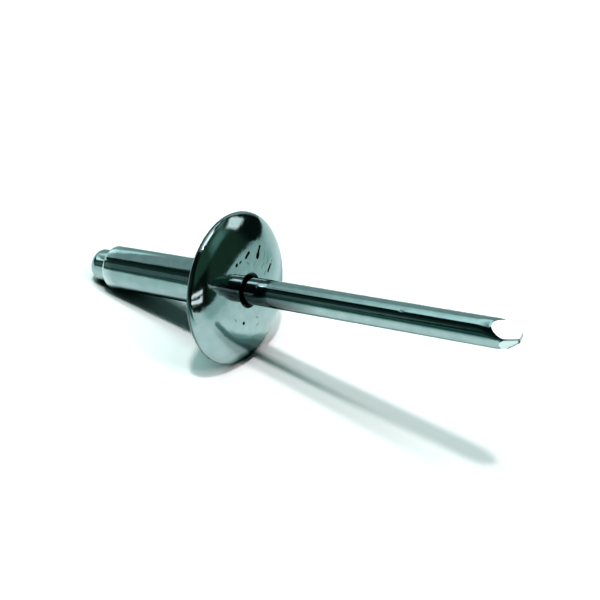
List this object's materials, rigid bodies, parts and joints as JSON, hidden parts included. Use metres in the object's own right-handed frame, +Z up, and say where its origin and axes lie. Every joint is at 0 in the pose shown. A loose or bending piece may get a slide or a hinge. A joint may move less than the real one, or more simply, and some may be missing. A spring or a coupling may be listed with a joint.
{
  "type": "blind rivet",
  "caption": "Open-end blind rivet with a wide domed flange, a hollow sleeve and a headed pulling mandrel with a pinched point.",
  "frame": {"origin": "on the floor, under the middle of the lying rivet's length and width", "axes": "+Z up; the rivet's axis lies in the XZ plane and rises towards +X, where the mandrel's point is"},
  "size_m": [0.0488, 0.016, 0.0186],
  "materials": {
    "body_steel": "polished",
    "mandrel_steel": "polished"
  },
  "bodies": {
    "root": {"rivet_body": "body_steel", "mandrel": "mandrel_steel"}
  },
  "joints": []
}
